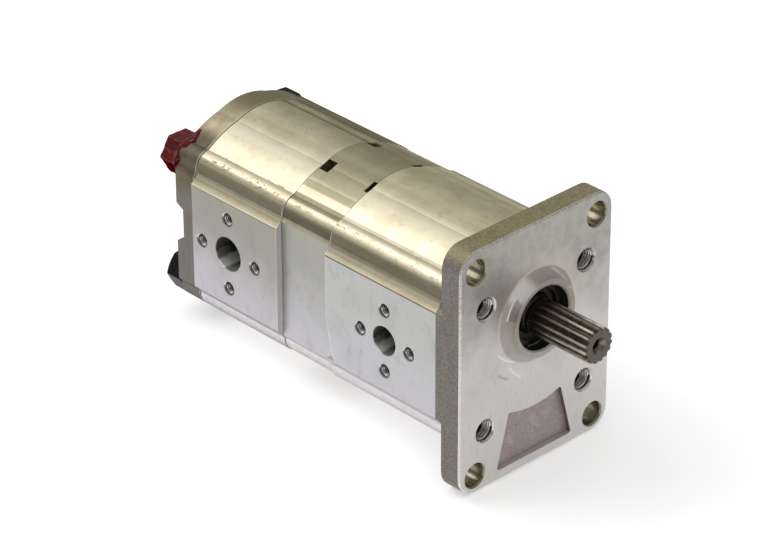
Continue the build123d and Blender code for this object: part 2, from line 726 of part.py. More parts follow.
def make_snap_ring():
    """The open ring in the bore's groove, in front of the seal."""
    start = 180 - RING_OPENING / 2
    end = 180 + RING_OPENING / 2
    reach = 2 * RING_OUTER_R
    gap = make_face(Polyline((0, 0), around(start, reach), around(end, reach), close=True))
    ring = Circle(RING_OUTER_R) - Circle(SEAL_BORE_R - RING_RADIAL) - gap
    return slab(ring, RING_BACK, RING_BACK + RING_THICKNESS)


# every sub-part by its node name
def body_parts():
    return {
        "flange_cover": make_flange_cover(),
        "front_housing": make_front_housing(),
        "middle_section": make_middle_section(),
        "rear_housing": make_rear_housing(),
        "rear_cover": make_rear_cover(),
    }


def screw_parts():
    parts = {"seal_lacquer": make_lacquer(SCREW_PLACES[0])}
    for number, place in enumerate(SCREW_PLACES, start=1):
        parts[f"long_screw_{number}"] = make_screw(place)
    return parts


def shaft_parts():
    return {
        "drive_shaft": make_drive_shaft(),
        "rear_drive_gear": make_rear_drive_gear(),
        "coupling_sleeve": make_coupling(),
        "front_idler_gear": make_idler(FRONT_GEAR_BACK, FRONT_GEAR_FRONT, FRONT_BACK, NECK_BACK),
        "rear_idler_gear": make_idler(REAR_GEAR_BACK, REAR_GEAR_FRONT, REAR_BACK, MIDDLE_BACK),
        "shaft_seal": make_shaft_seal(),
        "seal_spring": make_seal_spring(),
        "snap_ring": make_snap_ring(),
    }


def bearing_parts():
    """The four blocks by name, as (back, front, back of the seal groove)."""
    blocks = {
        "front_stage_front": (FRONT_GEAR_FRONT, NECK_BACK, NECK_BACK - FIELD_DEPTH),
        "front_stage_back": (FRONT_BACK, FRONT_GEAR_BACK, FRONT_BACK),
        "rear_stage_front": (REAR_GEAR_FRONT, MIDDLE_BACK, MIDDLE_BACK - FIELD_DEPTH),
        "rear_stage_back": (REAR_BACK, REAR_GEAR_BACK, REAR_BACK),
    }
    parts = {}
    for name, (back, front, seal_back) in blocks.items():
        parts[f"{name}_block"] = make_block(back, front, seal_back)
        parts[f"{name}_field_seal"] = make_field_seal(seal_back)
        parts[f"{name}_upper_bush"] = make_bush(back, front, AXES[0])
        parts[f"{name}_lower_bush"] = make_bush(back, front, AXES[1])
    return parts


def joint_parts():
    """At each joint of the body, two dowels and the seal in the housing's end face."""
    seal_backs = [NECK_BACK - GASKET_DEPTH, FRONT_BACK, MIDDLE_BACK - GASKET_DEPTH, REAR_BACK]
    parts = {}
    for number, (joint_x, seal_back) in enumerate(zip(JOINTS, seal_backs), start=1):
        upper, lower = pin_holes(joint_x)
        parts[f"joint_{number}_seal"] = make_housing_seal(seal_back)
        parts[f"joint_{number}_upper_dowel"] = upper
        parts[f"joint_{number}_lower_dowel"] = lower
    return parts


os.makedirs("parts", exist_ok=True)
everything = body_parts() | screw_parts() | shaft_parts() | bearing_parts() | joint_parts()
for name, shape in everything.items():
    export_step(shape, f"parts/{name}.step")
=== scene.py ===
import bpy
import bmesh
import math
from mathutils import Matrix, Vector
from mathutils import noise as relief


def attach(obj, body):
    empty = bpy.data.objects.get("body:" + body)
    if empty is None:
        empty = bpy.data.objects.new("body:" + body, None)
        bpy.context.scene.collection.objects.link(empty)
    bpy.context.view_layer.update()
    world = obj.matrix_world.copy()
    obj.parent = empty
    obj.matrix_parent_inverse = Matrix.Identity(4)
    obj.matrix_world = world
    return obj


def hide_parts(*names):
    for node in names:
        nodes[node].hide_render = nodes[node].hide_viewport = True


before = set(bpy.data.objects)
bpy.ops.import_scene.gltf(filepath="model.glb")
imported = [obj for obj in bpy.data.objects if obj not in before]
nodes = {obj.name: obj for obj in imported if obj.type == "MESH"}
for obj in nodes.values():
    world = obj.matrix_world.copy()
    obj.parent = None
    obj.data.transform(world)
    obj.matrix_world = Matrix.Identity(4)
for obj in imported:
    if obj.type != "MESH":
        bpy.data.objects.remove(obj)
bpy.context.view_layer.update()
MM = 0.001

# places of the pump's features, in the row frame, in metres
AXIS_DROP = 31 * MM
BODY_Z = -AXIS_DROP / 2
ARCH_RADIUS = 35 * MM
PAD_Y = 42.8 * MM
MIDDLE_Y = 39.7 * MM
PLATE_BACK = -11 * MM
NECK_BACK = -17 * MM
FRONT_BACK = -86 * MM
MIDDLE_BACK = -117 * MM
REAR_BACK = -173.5 * MM
COVER_BACK = -186.5 * MM
HEAD_BACK = COVER_BACK - 10.4 * MM
PLATE_BOTTOM = -74 * MM
BODY_BOTTOM = -AXIS_DROP - ARCH_RADIUS
SCREW_Y = 30 * MM
MOUNT_Y = 36 * MM
MOUNT_Z = 50 * MM

# each port: which side it opens to, its place, and how far its four tapped holes stand from it
FRONT_PORT = (-48.8 * MM, BODY_Z - 1.2 * MM)
REAR_PORT = (-149.4 * MM, BODY_Z)
PORTS = [
    ("front_outlet", -1, FRONT_PORT, 15 * MM),
    ("rear_outlet", -1, REAR_PORT, 17.5 * MM),
    ("front_inlet", 1, FRONT_PORT, 17.5 * MM),
    ("rear_inlet", 1, REAR_PORT, 20 * MM),
]

# how far from its axis a hole's wall is painted, and how softly that ends
MOUNT_REACH = 6.3 * MM
SCREW_REACH = 5.9 * MM
SEAL_REACH = 15.75 * MM
WALL_FADE = 0.15 * MM

# the arch's tone, painted shade and a painted highlight along the extruded housings, counted from
# the middle plane: from none to full
ARCH_FADE = (24.5 * MM, 21.5 * MM)
FAR_FADE = (22.6 * MM, 22.0 * MM)
BEYOND_FADE = (22 * MM, 24 * MM)
SHOULDER_FADE = (16.5 * MM, 12 * MM)
ROLL_FADE = (40.2 * MM, 41.4 * MM)
BRIM_FADE = (41.8 * MM, 42.3 * MM)

# strips along them, of painted shade, a painted highlight and specks: low edge, high edge, and the
# fade beside each
FLANK_STRIP = (24 * MM, 26.4 * MM, 1.2 * MM)
BANK_STRIP = (16 * MM, 19 * MM, 3 * MM)
SCREW_STRIP = (30.5 * MM, 34.1 * MM, 0.3 * MM)
SPECK_STRIP = (32.5 * MM, 39 * MM, 2 * MM)
CREASE_STRIP = (25.5 * MM, 26.2 * MM, 0.15 * MM)

# rings around the shaft on the flange's face, for painted highlights and the notch's painted shade:
# low edge, high edge, and the fade beside each
GLOW_RING = (18.5 * MM, 21 * MM, 2.2 * MM)
NOTCH_RING = (18.1 * MM, 19.4 * MM, 0.3 * MM)
NOTCH_EDGE = (19.6 * MM, 19.9 * MM, 0.2 * MM)

# marks counted from the shaft's axis: from none to full
BOSS_FADE = (26 * MM, 22 * MM)
WARMTH_FADE = (33 * MM, 20 * MM)
WEAR_AND_SHEEN_FADE = (33 * MM, 36 * MM)
GROOVE_FADE = (8.1 * MM, 7.5 * MM)
TOOTH_TIP_FADE = (8.22 * MM, 8.38 * MM)

# the flange's pocket: where its sides, its upper edge and its depth begin
POCKET_SIDE_FADE = (23.2 * MM, 22.6 * MM)
POCKET_TOP_FADE = (-40 * MM, -44 * MM)
POCKET_DEPTH_FADE = (-0.05 * MM, -0.3 * MM)

# marks of the casting mould on the flange, two painted as highlight and one as shade: centre in Y
# and Z, and reach counted in Y minus Z
UPPER_ARC = ((-5 * MM, 2.1 * MM), -10 * MM, 3 * MM)
LOWER_ARC = ((3 * MM, -8.8 * MM), 5.5 * MM, 17 * MM)
DARK_ARC = ((-7.2 * MM, -5.4 * MM), -0.5 * MM, 7.5 * MM)
ARC_RADIUS = 22 * MM
ARC_FADE = (0.9 * MM, 0.2 * MM)
ARC_END_FADE = 3 * MM

# threads, and where along a hole the painted shade on them begins and is full
FLANGE_THREAD = {"wall": 5.02 * MM, "crest": 4.25 * MM, "pitch": 1.5 * MM, "length": 4.6 * MM}
PORT_THREAD = {"wall": 3.02 * MM, "crest": 2.5 * MM, "pitch": 1.0 * MM, "length": 11 * MM}
FLANGE_THREAD_START = 0.8 * MM
PORT_THREAD_START = 0.4 * MM
THREAD_STEPS = 24
DEPTH_SHADE_START = 1.5 * MM
DEPTH_SHADE_FULL = 4 * MM

# lacquer over one screw head, with its smoothing and the scale and depth of its swells
LACQUER_FLATS = 18.9 * MM
LACQUER_DROP = 0.3 * MM
LACQUER_GRID = 0.45 * MM
LACQUER_BACK = HEAD_BACK - 1.8 * MM
LACQUER_SOFTENING = (0.6, 26)
LACQUER_SWELLS = ((300, 0.5 * MM), (700, 0.08 * MM))
HEXAGON = 6

# camera, fitted to the photograph's frame of 768 by 554 pixels
CAMERA_PLACE = Vector((971.42, -1005.43, 828.04)) * MM
CAMERA_AZIMUTH = math.radians(46.66)
CAMERA_ELEVATION = math.radians(30.10)
CAMERA_ROLL = math.radians(-0.27)
FOCAL_PIXELS = 3831.2
FRAME_WIDTH = 768
SENSOR_WIDTH = 36.0
CLIP_END = 50

# floor: half its size, its grey, the gap under the pump, and where its tilt ends
FLOOR_HALF = 4.0
FLOOR_GREY = 0.9
FLOOR_GAP = 0.3 * MM
FLOOR_REAR = -200 * MM
FLOOR_FRONT = 50 * MM
FLOOR_LIFT = 0.45

# sky: its strength low and high, between which heights it rises, and where its white edge ends
SKY_LOW = 0.25
SKY_HIGH = 0.6
SKY_RISE = (0.1, 0.8)
SKY_EDGE = (0.02, 0.12)

# square lamps: place, width and power
LAMP_AIM = Vector((-0.09, 0, 0))
LAMPS = {
    "sparkle": ((-0.85, -0.8, 1.5), 0.12, 0.8),
    "key": ((-0.95, -0.66, 1.5), 1.35, 11),
}


def make_camera():
    """The camera stands where the fit puts it, looking at the pump from its front left."""
    az = CAMERA_AZIMUTH
    el = CAMERA_ELEVATION
    back = Vector((math.sin(az) * math.cos(el), -math.cos(az) * math.cos(el), math.sin(el)))
    level = Vector((math.cos(az), math.sin(az), 0))
    upright = back.cross(level)
    right = math.cos(CAMERA_ROLL) * level + math.sin(CAMERA_ROLL) * upright
    up = math.cos(CAMERA_ROLL) * upright - math.sin(CAMERA_ROLL) * level
    data = bpy.data.cameras.new("photo_camera")
    data.sensor_fit = "HORIZONTAL"
    data.sensor_width = SENSOR_WIDTH
    data.lens = FOCAL_PIXELS * SENSOR_WIDTH / FRAME_WIDTH
    data.clip_end = CLIP_END
    camera = bpy.data.objects.new("photo_camera", data)
    turn = Matrix((right, up, back)).transposed()
    camera.matrix_world = Matrix.Translation(CAMERA_PLACE) @ turn.to_4x4()
    bpy.context.scene.collection.objects.link(camera)
    bpy.context.scene.camera = camera


class Shader:
    """A small helper that adds nodes to a material and joins them."""

    def __init__(self, name):
        self.material = bpy.data.materials.new(name)
        self.material.use_nodes = True
        self.tree = self.material.node_tree
        self.surface = self.tree.nodes["Principled BSDF"]
        coords = self.add("ShaderNodeTexCoord")
        self.place = coords.outputs["Object"]
        self.x, self.y, self.z = self.split(self.place)
        self.nx, self.ny, self.nz = self.split(coords.outputs["Normal"])
        self.own_x, self.own_y, self.own_z = self.split(coords.outputs["Generated"])

        # distances from the body's two middle planes, and how far the surface faces sideways
        self.across = self.size(self.y)
        self.height = self.size(self.math("SUBTRACT", self.z, BODY_Z))
        self.side = self.size(self.ny)

    def add(self, kind, **settings):
        node = self.tree.nodes.new(kind)
        for key, value in settings.items():
            setattr(node, key, value)
        return node

    def join(self, source, target):
        self.tree.links.new(source, target)

    def split(self, vector):
        node = self.add("ShaderNodeSeparateXYZ")
        self.join(vector, node.inputs[0])
        return node.outputs

    def feed(self, socket, value):
        """A socket takes another socket, or a plain value."""
        if isinstance(value, bpy.types.NodeSocket):
            self.join(value, socket)
        else:
            socket.default_value = value

    def math(self, operation, a, b=0.0):
        node = self.add("ShaderNodeMath", operation=operation)
        self.feed(node.inputs[0], a)
        self.feed(node.inputs[1], b)
        return node.outputs[0]

    def size(self, value):
        return self.math("ABSOLUTE", value)

    def step(self, value, low, high):
        """Rises smoothly from 0 at low to 1 at high, or falls when low is above high."""
        node = self.add("ShaderNodeMapRange", interpolation_type="SMOOTHSTEP")
        self.feed(node.inputs["Value"], value)
        rising = low < high
        self.feed(node.inputs["From Min"], low if rising else high)
        self.feed(node.inputs["From Max"], high if rising else low)
        self.feed(node.inputs["To Min"], 0.0 if rising else 1.0)
        self.feed(node.inputs["To Max"], 1.0 if rising else 0.0)
        return node.outputs["Result"]

    def band(self, value, low, high, soft):
        """1 between low and high, fading to 0 over soft on either side."""
        return self.both(self.step(value, low - soft, low), self.step(value, high + soft, high))

    def both(self, a, b):
        return self.math("MULTIPLY", a, b)

    def either(self, a, b):
        return self.math("MAXIMUM", a, b)

    def without(self, a, b):
        """a, where b is absent."""
        return self.both(a, self.math("SUBTRACT", 1.0, b))

    def radius(self, a, b, centre=(0.0, 0.0)):
        """Distance from a centre, in the plane of two coordinates."""
        da = self.math("SUBTRACT", a, centre[0])
        db = self.math("SUBTRACT", b, centre[1])
        squares = self.math("ADD", self.both(da, da), self.both(db, db))
        return self.math("SQRT", squares)

    def scaled(self, sx, sy, sz):
        """The place with each axis stretched, for grain that runs one way."""
        node = self.add("ShaderNodeMapping")
        self.join(self.place, node.inputs["Vector"])
        node.inputs["Scale"].default_value = (sx, sy, sz)
        return node.outputs["Vector"]

    def noise(self, scale, detail=3.0, rough=0.55, vector=None):
        node = self.add("ShaderNodeTexNoise")
        self.join(vector or self.place, node.inputs["Vector"])
        node.inputs["Scale"].default_value = scale
        node.inputs["Detail"].default_value = detail
        node.inputs["Roughness"].default_value = rough
        return node.outputs["Fac"]

    def mix(self, share, a, b):
        node = self.add("ShaderNodeMix", data_type="RGBA")
        self.feed(node.inputs["Factor"], share)
        self.feed(node.inputs[6], a)
        self.feed(node.inputs[7], b)
        return node.outputs[2]

    def blend(self, share, a, b):
        node = self.add("ShaderNodeMix", data_type="FLOAT")
        self.feed(node.inputs["Factor"], share)
        self.feed(node.inputs[2], a)
        self.feed(node.inputs[3], b)
        return node.outputs[0]

    def rounded(self, radius):
        """The normal as if every edge were rounded off by a small radius."""
        node = self.add("ShaderNodeBevel", samples=6)
        node.inputs["Radius"].default_value = radius
        return node.outputs["Normal"]

    def bump(self, height, depth, strength=1.0, normal=None):
        node = self.add("ShaderNodeBump")
        self.join(height, node.inputs["Height"])
        node.inputs["Distance"].default_value = depth
        node.inputs["Strength"].default_value = strength
        if normal is not None:
            self.join(normal, node.inputs["Normal"])
        return node.outputs["Normal"]

    def paint(self, colour, metallic, roughness, normal=None):
        self.feed(self.surface.inputs["Base Color"], colour)
        self.feed(self.surface.inputs["Metallic"], metallic)
        self.feed(self.surface.inputs["Roughness"], roughness)
        if normal is not None:
            self.join(normal, self.surface.inputs["Normal"])
        return self.material


def rgb(red, green, blue):
    """A colour as it is seen on screen, 0 to 255, as the linear values a shader takes."""

    def linear(value):
        share = value / 255
        return share / 12.92 if share <= 0.04045 else ((share + 0.055) / 1.055) ** 2.4

    return (linear(red), linear(green), linear(blue), 1.0)


def dress(name, material):
    """Gives a CAD node its material."""
    mesh = nodes[name].data
    mesh.materials.clear()
    mesh.materials.append(material)


# colours that several places share, and the tint of metal seen at a low angle
WHITE = (1, 1, 1, 1)
SHADE = rgb(112, 102, 78)
DEEP_SHADE = rgb(50, 45, 33)
GLINT = rgb(255, 254, 250)
WARM_GLINT = rgb(255, 252, 246)
SATIN_TINT = (0.42, 0.4, 0.34, 1.0)
DARK_TINT = (0.16, 0.15, 0.13, 1.0)

# how strongly each mark shows on each housing: the arch's tone, the specks, and painted shade and
# highlights elsewhere; the tint seen at a low angle; and the colour of its milled pads
REAR_TONES = {
    "arch": 0.0,
    "flank": 0.0,
    "edge": DARK_TINT,
    "far": 1.0,
    "beyond": 0.5,
    "shoulder": 0.2,
    "bank": 0.6,
    "fold": 0.55,
    "roll": 0.2,
    "specks": 0.85,
    "stripe": 0.0,
    "valley": 0.88,
    "lip": 0.6,
    "crease": 0.25,
    "pad": rgb(171, 169, 160),
}
MIDDLE_TONES = {
    "arch": 0.46,
    "flank": 0.6,
    "edge": SATIN_TINT,
    "far": 0.34,
    "beyond": 0.0,
    "shoulder": 0.3,
    "bank": 0.0,
    "fold": 0.4,
    "roll": 0.0,
    "specks": 0.3,
    "stripe": 0.6,
    "valley": 0.97,
    "lip": 0.0,
    "crease": 0.0,
    "pad": rgb(176, 176, 168),
}
FRONT_TONES = {
    "arch": 0.0,
    "flank": 0.0,
    "edge": SATIN_TINT,
    "far": 0.34,
    "beyond": 0.0,
    "shoulder": 0.25,
    "bank": 0.4,
    "fold": 0.3,
    "roll": 0.5,
    "specks": 0.5,
    "stripe": 0.1,
    "valley": 0.9,
    "lip": 0.6,
    "crease": 0.75,
    "pad": rgb(197, 197, 194),
}


# the extruded housings
def drawn_skin(s, broad, mottle, upper):
    """The skin, warm above, and pale neutral grey below and on faces turned down, as a painted
    reflection of the floor.
    """
    cloud = s.noise(70, 3.0)
    warm = s.mix(s.step(cloud, 0.35, 0.7), rgb(238, 227, 199), rgb(224, 212, 182))
    warm = s.mix(s.both(s.step(broad, 0.52, 0.74), 0.3), warm, rgb(186, 174, 144))
    warm = s.mix(s.both(s.step(mottle, 0.5, 0.75), 0.28), warm, rgb(170, 157, 124))
    flecks = s.noise(1, 2.0, 0.5, s.scaled(240, 1300, 1300))
    flecks = s.both(s.step(flecks, 0.69, 0.75), s.step(cloud, 0.5, 0.62))
    warm = s.mix(s.both(flecks, 0.45), warm, rgb(120, 108, 80))
    # painted reflection of the floor: pale neutral grey on the lower half and on faces turned down
    cool = s.mix(s.step(mottle, 0.35, 0.7), rgb(224, 222, 225), rgb(214, 212, 215))
    return s.mix(s.both(upper, s.step(s.nz, -0.12, 0.12)), cool, warm)


def toned_skin(s, skin, arch, upper, tones):
    """Broad tones along the outline, which differ from housing to housing: a darker arch, painted
    shade on the flank, the far side, the shoulders, folds, rolls and stripe, and painted highlights
    on the near bank and the lower brim.
    """
    # painted shade on the far side and the far top, along the near shoulders, in the folds and
    # rolls; painted highlight on the near bank and the lower brim
    far = s.both(s.step(s.across, *FAR_FADE), s.step(s.ny, 0.3, 0.44))
    beyond = s.both(s.step(s.y, *BEYOND_FADE), s.step(s.nz, 0.4, 0.7))
    shoulder = s.both(s.step(s.across, *SHOULDER_FADE), s.band(s.ny, -0.45, -0.27, 0.12))
    bank = s.both(s.band(s.across, *BANK_STRIP), s.step(s.ny, -0.2, -0.3))
    fold = s.both(s.band(s.side, 0.66, 0.78, 0.05), upper)
    roll = s.both(s.step(s.across, *ROLL_FADE), upper)
    brim = s.without(s.step(s.across, *BRIM_FADE), upper)
    # painted shade in a stripe along the top
    crown = s.step(s.height, 34 * MM, 34.5 * MM)
    stripe = s.both(s.band(s.across, *SCREW_STRIP), crown)
    # each layer mixes in the arch's darker tone, painted shade or a painted highlight
    layers = [
        (arch, tones["arch"], SHADE),
        (s.band(s.across, *FLANK_STRIP), tones["flank"], SHADE),
        (far, tones["far"], DEEP_SHADE),
        (beyond, tones["beyond"], DEEP_SHADE),
        (shoulder, tones["shoulder"], SHADE),
        (bank, tones["bank"], rgb(252, 243, 220)),
        (fold, tones["fold"], SHADE),
        (roll, tones["roll"], SHADE),
        (brim, 0.8, rgb(255, 254, 255)),
        (stripe, tones["stripe"], SHADE),
    ]
    for place, strength, colour in layers:
        skin = s.mix(s.both(place, strength), skin, colour)
    return skin


def speck_places(s):
    """Fine specks on each shoulder, in patches."""
    specks = s.noise(1, 3.0, 0.6, s.scaled(420, 800, 800))
    specks = s.both(s.step(specks, 0.54, 0.63), s.band(s.side, 0.5, 0.7, 0.1))
    specks = s.both(specks, s.step(s.noise(90, 2.0), 0.4, 0.52))
    return s.both(specks, s.band(s.across, *SPECK_STRIP))


def valley_shade_and_specks(s, skin, specks, upper, tones):
    """Painted shade in the valley between each shoulder and its pad, and specks above it."""
    # painted shade in the valley, patchy
    valley = s.both(s.step(s.side, 0.72, 0.985), upper)
    valley = s.both(valley, s.blend(s.noise(1, 3.0, 0.6, s.scaled(60, 500, 500)), 1.0, 0.85))
    skin = s.mix(s.both(valley, tones["valley"]), skin, rgb(66, 58, 42))
    return s.mix(s.both(specks, tones["specks"]), skin, rgb(84, 74, 50))


def milled_pad(s, mottle, grains, upper, tones):
    """A flat side cut by the mill, lighter towards the floor as a painted reflection of it, with
    painted shade along the crease at its top edge.
    """
    cut = s.noise(1, 2.0, 0.5, s.scaled(260, 2400, 160))
    smear = s.noise(60, 3.0)
    # painted reflection of the floor: paler towards the bottom
    low = s.step(s.math("ADD", s.z, s.both(smear, 24 * MM)), 16 * MM, -34 * MM)
    pale = s.mix(low, tones["pad"], rgb(207, 205, 211))
    pale = s.mix(s.both(s.step(cut, 0.56, 0.75), 0.2), pale, rgb(140, 140, 140))
    pale = s.mix(s.both(s.step(smear, 0.5, 0.72), 0.12), pale, rgb(150, 150, 148))
    pits = s.both(s.step(grains, 0.7, 0.74), s.step(mottle, 0.5, 0.65))
    pale = s.mix(s.both(pits, 0.35), pale, rgb(112, 112, 112))
    # painted shade in the crease along the pad's top edge, under the flare
    crease = s.both(s.band(s.height, *CREASE_STRIP), upper)
    return s.mix(s.both(crease, tones["crease"]), pale, rgb(64, 58, 44))


def bore_walls(s, mottle, turned, half_width, port):
    """A port's bore, with painted shade further in and on its upper wall, a painted reflection low
    down, and the tapped holes around it.
    """
    port_x, port_z = port
    bore = s.mix(turned, rgb(176, 175, 170), rgb(122, 121, 116))
    # painted shade, darker further into the bore
    bore = s.mix(s.step(s.across, half_width - 2 * MM, half_width - 13 * MM), bore, rgb(44, 43, 40))
    # painted shade on the upper wall, with a darker painted shadow line in it
    streak = s.math("ADD", s.math("SUBTRACT", s.z, port_z), s.both(mottle, 6 * MM))
    bore = s.mix(s.both(s.step(streak, 1 * MM, 4 * MM), 0.75), bore, rgb(92, 90, 84))
    bore = s.mix(s.both(s.band(streak, 2 * MM, 3 * MM, 1 * MM), 0.5), bore, rgb(44, 42, 39))
    # painted reflection of the floor, low on the wall some way in
    wear_and_sheen = s.radius(s.x, s.z, (port_x - 4.6 * MM, port_z - 6.4 * MM))
    wear_and_sheen = s.step(s.math("ADD", wear_and_sheen, s.both(mottle, 2 * MM)), 4.4 * MM, 2.6 * MM)
    wear_and_sheen = s.both(wear_and_sheen, s.step(s.across, half_width - 14 * MM, half_width - 9 * MM))
    bore = s.mix(wear_and_sheen, bore, GLINT)
    # tapped holes: painted shade past the mouth, and a painted highlight on one side of the mouth
    narrow = s.step(s.radius(s.x, s.z, port), 10.5 * MM, 11 * MM)
    mouth = s.step(s.across, half_width - 1.2 * MM, half_width - 0.8 * MM)
    lit = s.both(s.step(s.nx, 0.0, 0.3), s.step(s.nz, 0.1, -0.3))
    tapped = s.mix(mouth, rgb(46, 44, 40), s.mix(lit, rgb(128, 126, 120), GLINT))
    return s.mix(narrow, bore, tapped)


def extrusion(name, half_width, joints, port, tones):
    """Mill-finish aluminium: drawn lines, painted shade and highlights along the outline, milled
    flats, and dark joints beside painted highlights.
    """
    s = Shader(name)
    lines = s.noise(1, 2.0, 0.6, s.scaled(14, 1500, 1500))
    broad = s.noise(1, 3.0, 0.6, s.scaled(22, 300, 300))
    turned = s.noise(1, 3.0, 0.6, s.scaled(900, 260, 900))
    mottle = s.noise(330, 4.0, 0.6)
    grains = s.noise(1900, 2.0)
    specks = speck_places(s)

    # the parts of the surface: flats, pad bevels, sawn ends, bores and the windows' walls
    upper = s.step(s.z, BODY_Z - 4 * MM, BODY_Z + 4 * MM)
    arch = s.step(s.across, *ARCH_FADE)
    at_pad = s.step(s.across, half_width - 0.3 * MM, half_width)
    flat = s.both(s.step(s.side, 0.975, 0.995), at_pad)
    bevel = s.both(s.step(s.nx, -0.2, -0.35), s.band(s.side, 0.8, 0.95, 0.03))
    gaps = [s.size(s.math("SUBTRACT", s.x, joint)) for joint, _ in joints]
    at_joint = s.step(s.math("MINIMUM", *gaps), 1.2 * MM, 0.8 * MM)
    end = s.both(s.step(s.size(s.nx), 0.85, 0.95), at_joint)
    outside = s.either(s.either(flat, end), bevel)
    inside = s.without(s.step(s.height, 24.5 * MM, 23.5 * MM), outside)
    rise = s.math("SUBTRACT", s.height, AXIS_DROP / 2)
    below_arch = s.step(s.radius(s.y, rise), ARCH_RADIUS - 0.1 * MM, ARCH_RADIUS - 0.25 * MM)
    sunk = s.both(below_arch, s.step(s.height, 37 * MM, 39 * MM))

    skin = drawn_skin(s, broad, mottle, upper)
    skin = toned_skin(s, skin, arch, upper, tones)
    skin = valley_shade_and_specks(s, skin, specks, upper, tones)
    colour = s.mix(flat, skin, milled_pad(s, mottle, grains, upper, tones))
    colour = s.mix(bevel, colour, rgb(244, 244, 246))
    colour = s.mix(inside, colour, bore_walls(s, mottle, turned, half_width, port))
    colour = s.mix(end, colour, s.mix(mottle, rgb(236, 234, 231), rgb(214, 212, 208)))

    # each joint closes in a dark line, beside a painted highlight on the lip of the larger housings
    rim = s.without(1.0, s.either(s.either(end, inside), bevel))
    for gap, (_, wide) in zip(gaps, joints):
        lip = s.both(s.step(gap, 0.5 * MM, 0.3 * MM), rim)
        colour = s.mix(s.both(lip, tones["lip"]), colour, rgb(250, 247, 238))
        seam = s.both(s.step(gap, wide, 0.6 * wide), rim)
        colour = s.mix(s.both(seam, 0.75), colour, rgb(66, 59, 44))
    # where the arch's top is sunk in, the surface is a darker brown
    sunk_colour = s.mix(s.step(mottle, 0.4, 0.62), rgb(128, 112, 80), rgb(62, 52, 32))
    colour = s.mix(sunk, colour, sunk_colour)

    # the tint dulls the skin where it is seen at a low angle
    s.surface.inputs["Specular Tint"].default_value = tones["edge"]
    dull = s.either(s.either(end, inside), s.either(bevel, sunk))
    milled = s.either(flat, dull)
    rough = s.blend(milled, s.blend(broad, 0.36, 0.46), 0.46)
    rough = s.math("ADD", rough, s.both(s.either(s.both(arch, tones["arch"]), specks), 0.12))
    normal = s.bump(lines, 0.05 * MM, 0.4, s.rounded(0.25 * MM))
    normal = s.bump(grains, 0.04 * MM, 0.35, normal)
    normal = s.bump(s.both(turned, inside), 0.12 * MM, 0.5, normal)
    metallic = s.blend(dull, s.blend(flat, 0.95, 0.8), s.blend(s.either(bevel, end), 0.45, 0.1))
    return s.paint(colour, metallic, rough, normal)


# the castings
def four_corners(half_y, half_z):
    """Four places around the body's middle, in Y and Z."""
    return [(sy * half_y, BODY_Z + sz * half_z) for sy in (-1, 1) for sz in (-1, 1)]


def hole_walls(s, places, reach):
    """1 within reach of any hole's axis, in Y and Z."""
    wall = None
    for y, z in places:
        near = s.step(s.radius(s.y, s.z, (y, z)), reach + WALL_FADE, reach)
        wall = near if wall is None else s.either(wall, near)
    return wall


def arc_ridge(s, centre, low, high):
    """1 along an arc on the flange's face, from low to high counted in Y minus Z."""
    off = s.size(s.math("SUBTRACT", s.radius(s.y, s.z, centre), ARC_RADIUS))
    along = s.math("SUBTRACT", s.y, s.z)
    return s.both(s.step(off, *ARC_FADE), s.band(along, low, high, ARC_END_FADE))


def boss_glow(s, from_axis, grit):
    """The painted highlight on the boss's flank, above left and below right of the shaft."""
    along = s.math("SUBTRACT", s.both(s.y, -0.8), s.both(s.z, 0.6))
    glow = s.both(s.band(from_axis, *GLOW_RING), s.band(along, -3.5 * MM, 3 * MM, 6 * MM))
    return s.both(glow, s.blend(s.step(grit, 0.35, 0.6), 0.7, 1.0))


def machined_face(s, fine, cloud, patch, from_axis):
    """The flange's face, paler towards the bottom as a painted reflection of the floor, and a
    little warmer around the boss.
    """
    swirl = s.noise(1, 2.0, 0.5, s.scaled(500, 900, 140))
    # painted reflection of the floor: the face grows paler towards the bottom
    drift = s.math("ADD", s.z, s.both(cloud, 50 * MM))
    high = s.mix(s.step(patch, 0.35, 0.7), rgb(176, 175, 166), rgb(164, 162, 153))
    face = s.mix(s.step(drift, 52 * MM, -10 * MM), high, rgb(212, 209, 204))
    face = s.mix(s.both(s.step(swirl, 0.52, 0.75), 0.16), face, rgb(140, 138, 132))
    face = s.mix(s.both(s.step(fine, 0.62, 0.72), 0.2), face, rgb(134, 131, 124))
    around = s.both(s.step(from_axis, *WARMTH_FADE), s.step(s.z, -16 * MM, 4 * MM))
    return s.mix(s.both(around, 0.5), face, rgb(204, 190, 180))


def boss_notch(s, face, from_axis):
    """A small flat on the boss's shoulder, painted darker as shade, with a painted highlight along
    its edge.
    """
    reach = s.both(s.step(s.y, -13 * MM, -14 * MM), s.band(s.z, 5.2 * MM, 13.5 * MM, 0.8 * MM))
    notch = s.both(s.band(from_axis, *NOTCH_RING), reach)
    # painted shade on the flat, and a painted highlight along its edge
    face = s.mix(s.both(notch, 0.5), face, rgb(128, 116, 108))
    edge = s.both(s.band(from_axis, *NOTCH_EDGE), reach)
    return s.mix(edge, face, WARM_GLINT)


def cast_edges(s, grit, patch):
    """Rough edges, greyer at the sides and olive along the top."""
    cast = s.mix(s.step(grit, 0.35, 0.65), rgb(152, 146, 138), rgb(114, 108, 101))
    olive = s.mix(s.step(grit, 0.35, 0.65), rgb(176, 163, 130), rgb(134, 123, 94))
    cast = s.mix(s.step(s.nz, 0.3, 0.8), cast, olive)
    return s.mix(s.both(s.step(patch, 0.5, 0.7), 0.3), cast, rgb(112, 104, 88))


